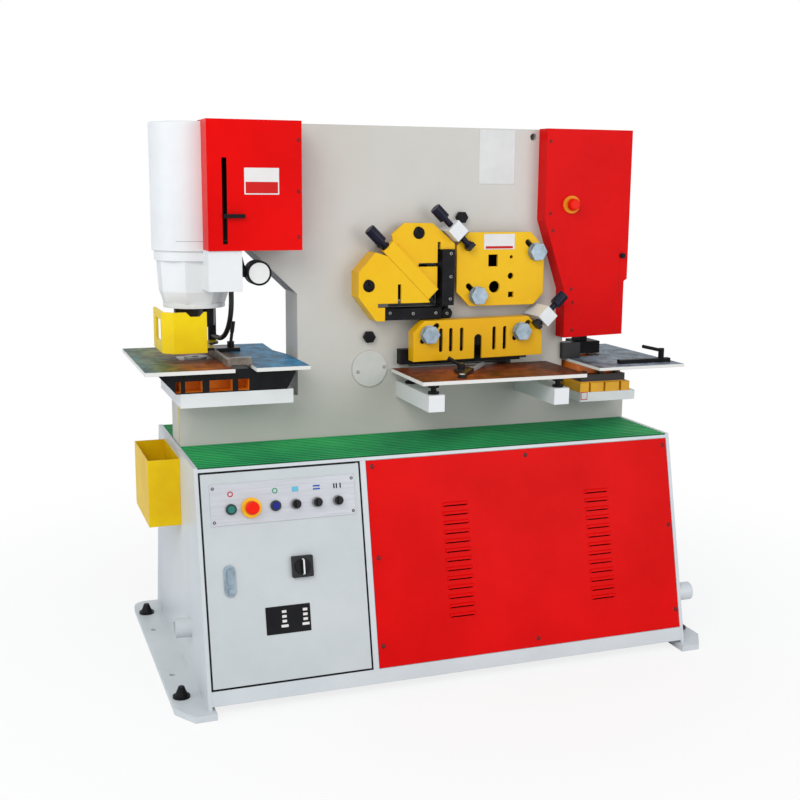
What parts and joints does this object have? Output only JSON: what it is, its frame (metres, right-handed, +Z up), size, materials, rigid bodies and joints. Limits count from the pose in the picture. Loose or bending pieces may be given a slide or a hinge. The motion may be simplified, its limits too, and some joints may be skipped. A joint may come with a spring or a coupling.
{
  "type": "hydraulic ironworker",
  "caption": "Floor-standing hydraulic ironworker with a punching station, angle, section and flat bar shears, a notcher and a leaning-sided base.",
  "frame": {"origin": "centre of the four anchor holes, on the floor", "axes": "+X along the machine from the punch to the notcher, +Y to the back, +Z up"},
  "size_m": [1.833, 1.018, 1.732],
  "materials": {
    "painted_frame": "satin",
    "painted_base": "satin",
    "red_paint": "gloss",
    "yellow_paint": "gloss",
    "green_rubber": "ribbed",
    "zinc_steel": "zinc plated",
    "machined_steel": "ground and oiled",
    "control_steel": "brushed",
    "blackened_steel": "blackened",
    "beam_paint": "satin",
    "black_rubber": "matt",
    "black_plastic": "matt",
    "green_plastic": "gloss",
    "blue_plastic": "gloss",
    "red_plastic": "gloss",
    "unit_paint": "satin",
    "grey_plastic": "matt"
  },
  "bodies": {
    "machine": {"frame_front_plate": "painted_frame", "frame_rear_plate": "painted_frame", "frame_brackets": "painted_frame", "punch_cylinder": "painted_frame", "punch_head": "painted_frame", "base_sides": "painted_base", "base_deck": "painted_base", "base_rails": "painted_base", "base_panels": "red_paint", "cover_left": "red_paint", "cover_right": "red_paint", "side_tray": "yellow_paint", "stripper_guard": "yellow_paint", "angle_guards": "yellow_paint", "notch_bed": "yellow_paint", "tread_mats": "green_rubber", "levelling_screws": "zinc_steel", "clamp_nuts": "zinc_steel", "punch_table": "machined_steel", "shear_table": "machined_steel", "notch_table": "machined_steel", "pivot_pin": "machined_steel", "punch_die": "machined_steel", "punch_bolster": "blackened_steel", "shear_blades": "blackened_steel", "stripper_arm": "blackened_steel", "lamp_arm": "blackened_steel", "beam_cylinder": "blackened_steel", "hydraulic_hose": "black_rubber", "power_unit": "unit_paint", "electrical_board": "grey_plastic"},
    "punch_ram_body": {"punch_ram": "blackened_steel", "punch_tool": "machined_steel", "stroke_bar": "blackened_steel"},
    "beam_body": {"rocker_beam": "beam_paint", "notch_punch": "blackened_steel"},
    "beam_rod_body": {"beam_rod": "machined_steel"},
    "lamp_body": {"lamp_head": "blackened_steel"},
    "hold_down_body": {"angle_hold_down": "blackened_steel"},
    "angle_screw_body": {"angle_screw": "blackened_steel"},
    "section_plate_body": {"section_plate": "yellow_paint"},
    "section_screw_body": {"section_screw": "blackened_steel"},
    "flat_guard_body": {"flat_guard": "yellow_paint"},
    "flat_screw_body": {"flat_screw": "blackened_steel"},
    "door_body": {"cabinet_door": "painted_base", "control_plate": "control_steel"},
    "latch_body": {"door_latch": "zinc_steel"},
    "switch_body": {"main_switch_handle": "red_plastic"},
    "green_body": {"green_button": "green_plastic"},
    "blue_body": {"blue_button": "blue_plastic"},
    "door_stop_body": {"door_stop_button": "red_plastic"},
    "cover_stop_body": {"cover_stop_button": "red_plastic"},
    "left_selector_body": {"left_selector": "black_plastic"},
    "middle_selector_body": {"middle_selector": "black_plastic"},
    "right_selector_body": {"right_selector": "black_plastic"},
    "punch_fence_body": {"punch_fence": "machined_steel"},
    "punch_lever_body": {"punch_lever": "black_plastic"},
    "shear_fence_body": {"shear_fence": "machined_steel"},
    "shear_lever_body": {"shear_lever": "black_plastic"},
    "notch_fence_body": {"notch_fence": "blackened_steel"}
  },
  "joints": [
    {"name": "ram_stroke", "type": "slide", "parent": "machine", "child": "punch_ram_body", "axis": [0, 0, 1], "range_m": [-0.058, 0]},
    {"name": "beam_swing", "type": "hinge", "parent": "machine", "child": "beam_body", "pos_m": [-0.161, 0.05, 0.937], "axis": [0, 1, 0], "range_deg": [0, 4]},
    {"name": "beam_rod_stroke", "type": "slide", "parent": "machine", "child": "beam_rod_body", "axis": [0, 0, 1], "range_m": [-0.052, 0]},
    {"name": "lamp_tilt", "type": "hinge", "parent": "machine", "child": "lamp_body", "pos_m": [-0.597, -0.095, 1.269], "axis": [1, 0, 0], "range_deg": [-20, 30]},
    {"name": "hold_down_slide", "type": "slide", "parent": "machine", "child": "hold_down_body", "axis": [0.7071, 0, -0.7071], "range_m": [0, 0.01]},
    {"name": "angle_screw_feed", "type": "slide", "parent": "machine", "child": "angle_screw_body", "axis": [0.7071, 0, -0.7071], "range_m": [0, 0.01]},
    {"name": "section_slide", "type": "slide", "parent": "machine", "child": "section_plate_body", "axis": [0.7071, 0, -0.7071], "range_m": [0, 0.01]},
    {"name": "section_screw_feed", "type": "slide", "parent": "machine", "child": "section_screw_body", "axis": [0.7071, 0, -0.7071], "range_m": [0, 0.01]},
    {"name": "flat_guard_slide", "type": "slide", "parent": "machine", "child": "flat_guard_body", "axis": [-0.7071, 0, -0.7071], "range_m": [0, 0.015]},
    {"name": "flat_screw_feed", "type": "slide", "parent": "machine", "child": "flat_screw_body", "axis": [-0.7071, 0, -0.7071], "range_m": [0, 0.015]},
    {"name": "door_swing", "type": "hinge", "parent": "machine", "child": "door_body", "pos_m": [-0.308, -0.40765, 0.38366], "axis": [0, 0.223, 0.9748], "range_deg": [0, 110]},
    {"name": "latch_turn", "type": "hinge", "parent": "door_body", "child": "latch_body", "pos_m": [-0.725, -0.4159, 0.38345], "axis": [0, -0.9748, 0.223], "range_deg": [0, 90]},
    {"name": "switch_turn", "type": "hinge", "parent": "door_body", "child": "switch_body", "pos_m": [-0.503, -0.41867, 0.40723], "axis": [0, -0.9748, 0.223], "range_deg": [-90, 0]},
    {"name": "green_press", "type": "slide", "parent": "door_body", "child": "green_body", "axis": [0, 0.9748, -0.223], "range_m": [0, 0.004], "stiffness_N_per_m": 300},
    {"name": "blue_press", "type": "slide", "parent": "door_body", "child": "blue_body", "axis": [0, 0.9748, -0.223], "range_m": [0, 0.004], "stiffness_N_per_m": 300},
    {"name": "door_stop_press", "type": "slide", "parent": "door_body", "child": "door_stop_body", "axis": [0, 0.9748, -0.223], "range_m": [0, 0.005]},
    {"name": "cover_stop_press", "type": "slide", "parent": "machine", "child": "cover_stop_body", "axis": [0, 1, 0], "range_m": [0, 0.005]},
    {"name": "left_selector_turn", "type": "hinge", "parent": "door_body", "child": "left_selector_body", "pos_m": [-0.509, -0.37462, 0.59078], "axis": [0, -0.9748, 0.223], "range_deg": [-45, 45]},
    {"name": "middle_selector_turn", "type": "hinge", "parent": "door_body", "child": "middle_selector_body", "pos_m": [-0.442, -0.37462, 0.59078], "axis": [0, -0.9748, 0.223], "range_deg": [-45, 45]},
    {"name": "right_selector_turn", "type": "hinge", "parent": "door_body", "child": "right_selector_body", "pos_m": [-0.376, -0.37462, 0.59078], "axis": [0, -0.9748, 0.223], "range_deg": [-45, 45]},
    {"name": "punch_fence_slide", "type": "slide", "parent": "machine", "child": "punch_fence_body", "axis": [1, 0, 0], "range_m": [0, 0.06]},
    {"name": "punch_lever_turn", "type": "hinge", "parent": "punch_fence_body", "child": "punch_lever_body", "pos_m": [-0.585, 0.185, 0.995], "axis": [0, 0, 1], "range_deg": [-90, 90]},
    {"name": "mitre_fence_swing", "type": "hinge", "parent": "machine", "child": "shear_fence_body", "pos_m": [0.062, -0.295, 0.94], "axis": [0, 0, 1], "range_deg": [-20, 0]},
    {"name": "shear_lever_turn", "type": "hinge", "parent": "shear_fence_body", "child": "shear_lever_body", "pos_m": [0.108, -0.178, 0.94], "axis": [0, 0, 1], "range_deg": [-90, 90]},
    {"name": "notch_fence_slide", "type": "slide", "parent": "machine", "child": "notch_fence_body", "axis": [0, 1, 0], "range_m": [-0.03, 0.04]}
  ],
  "couplings": [
    {"joint": "beam_rod_stroke", "follows": "beam_swing", "m_per_rad": -0.73},
    {"joint": "angle_screw_feed", "follows": "hold_down_slide", "ratio": 1},
    {"joint": "section_screw_feed", "follows": "section_slide", "ratio": 1},
    {"joint": "flat_screw_feed", "follows": "flat_guard_slide", "ratio": 1}
  ]
}
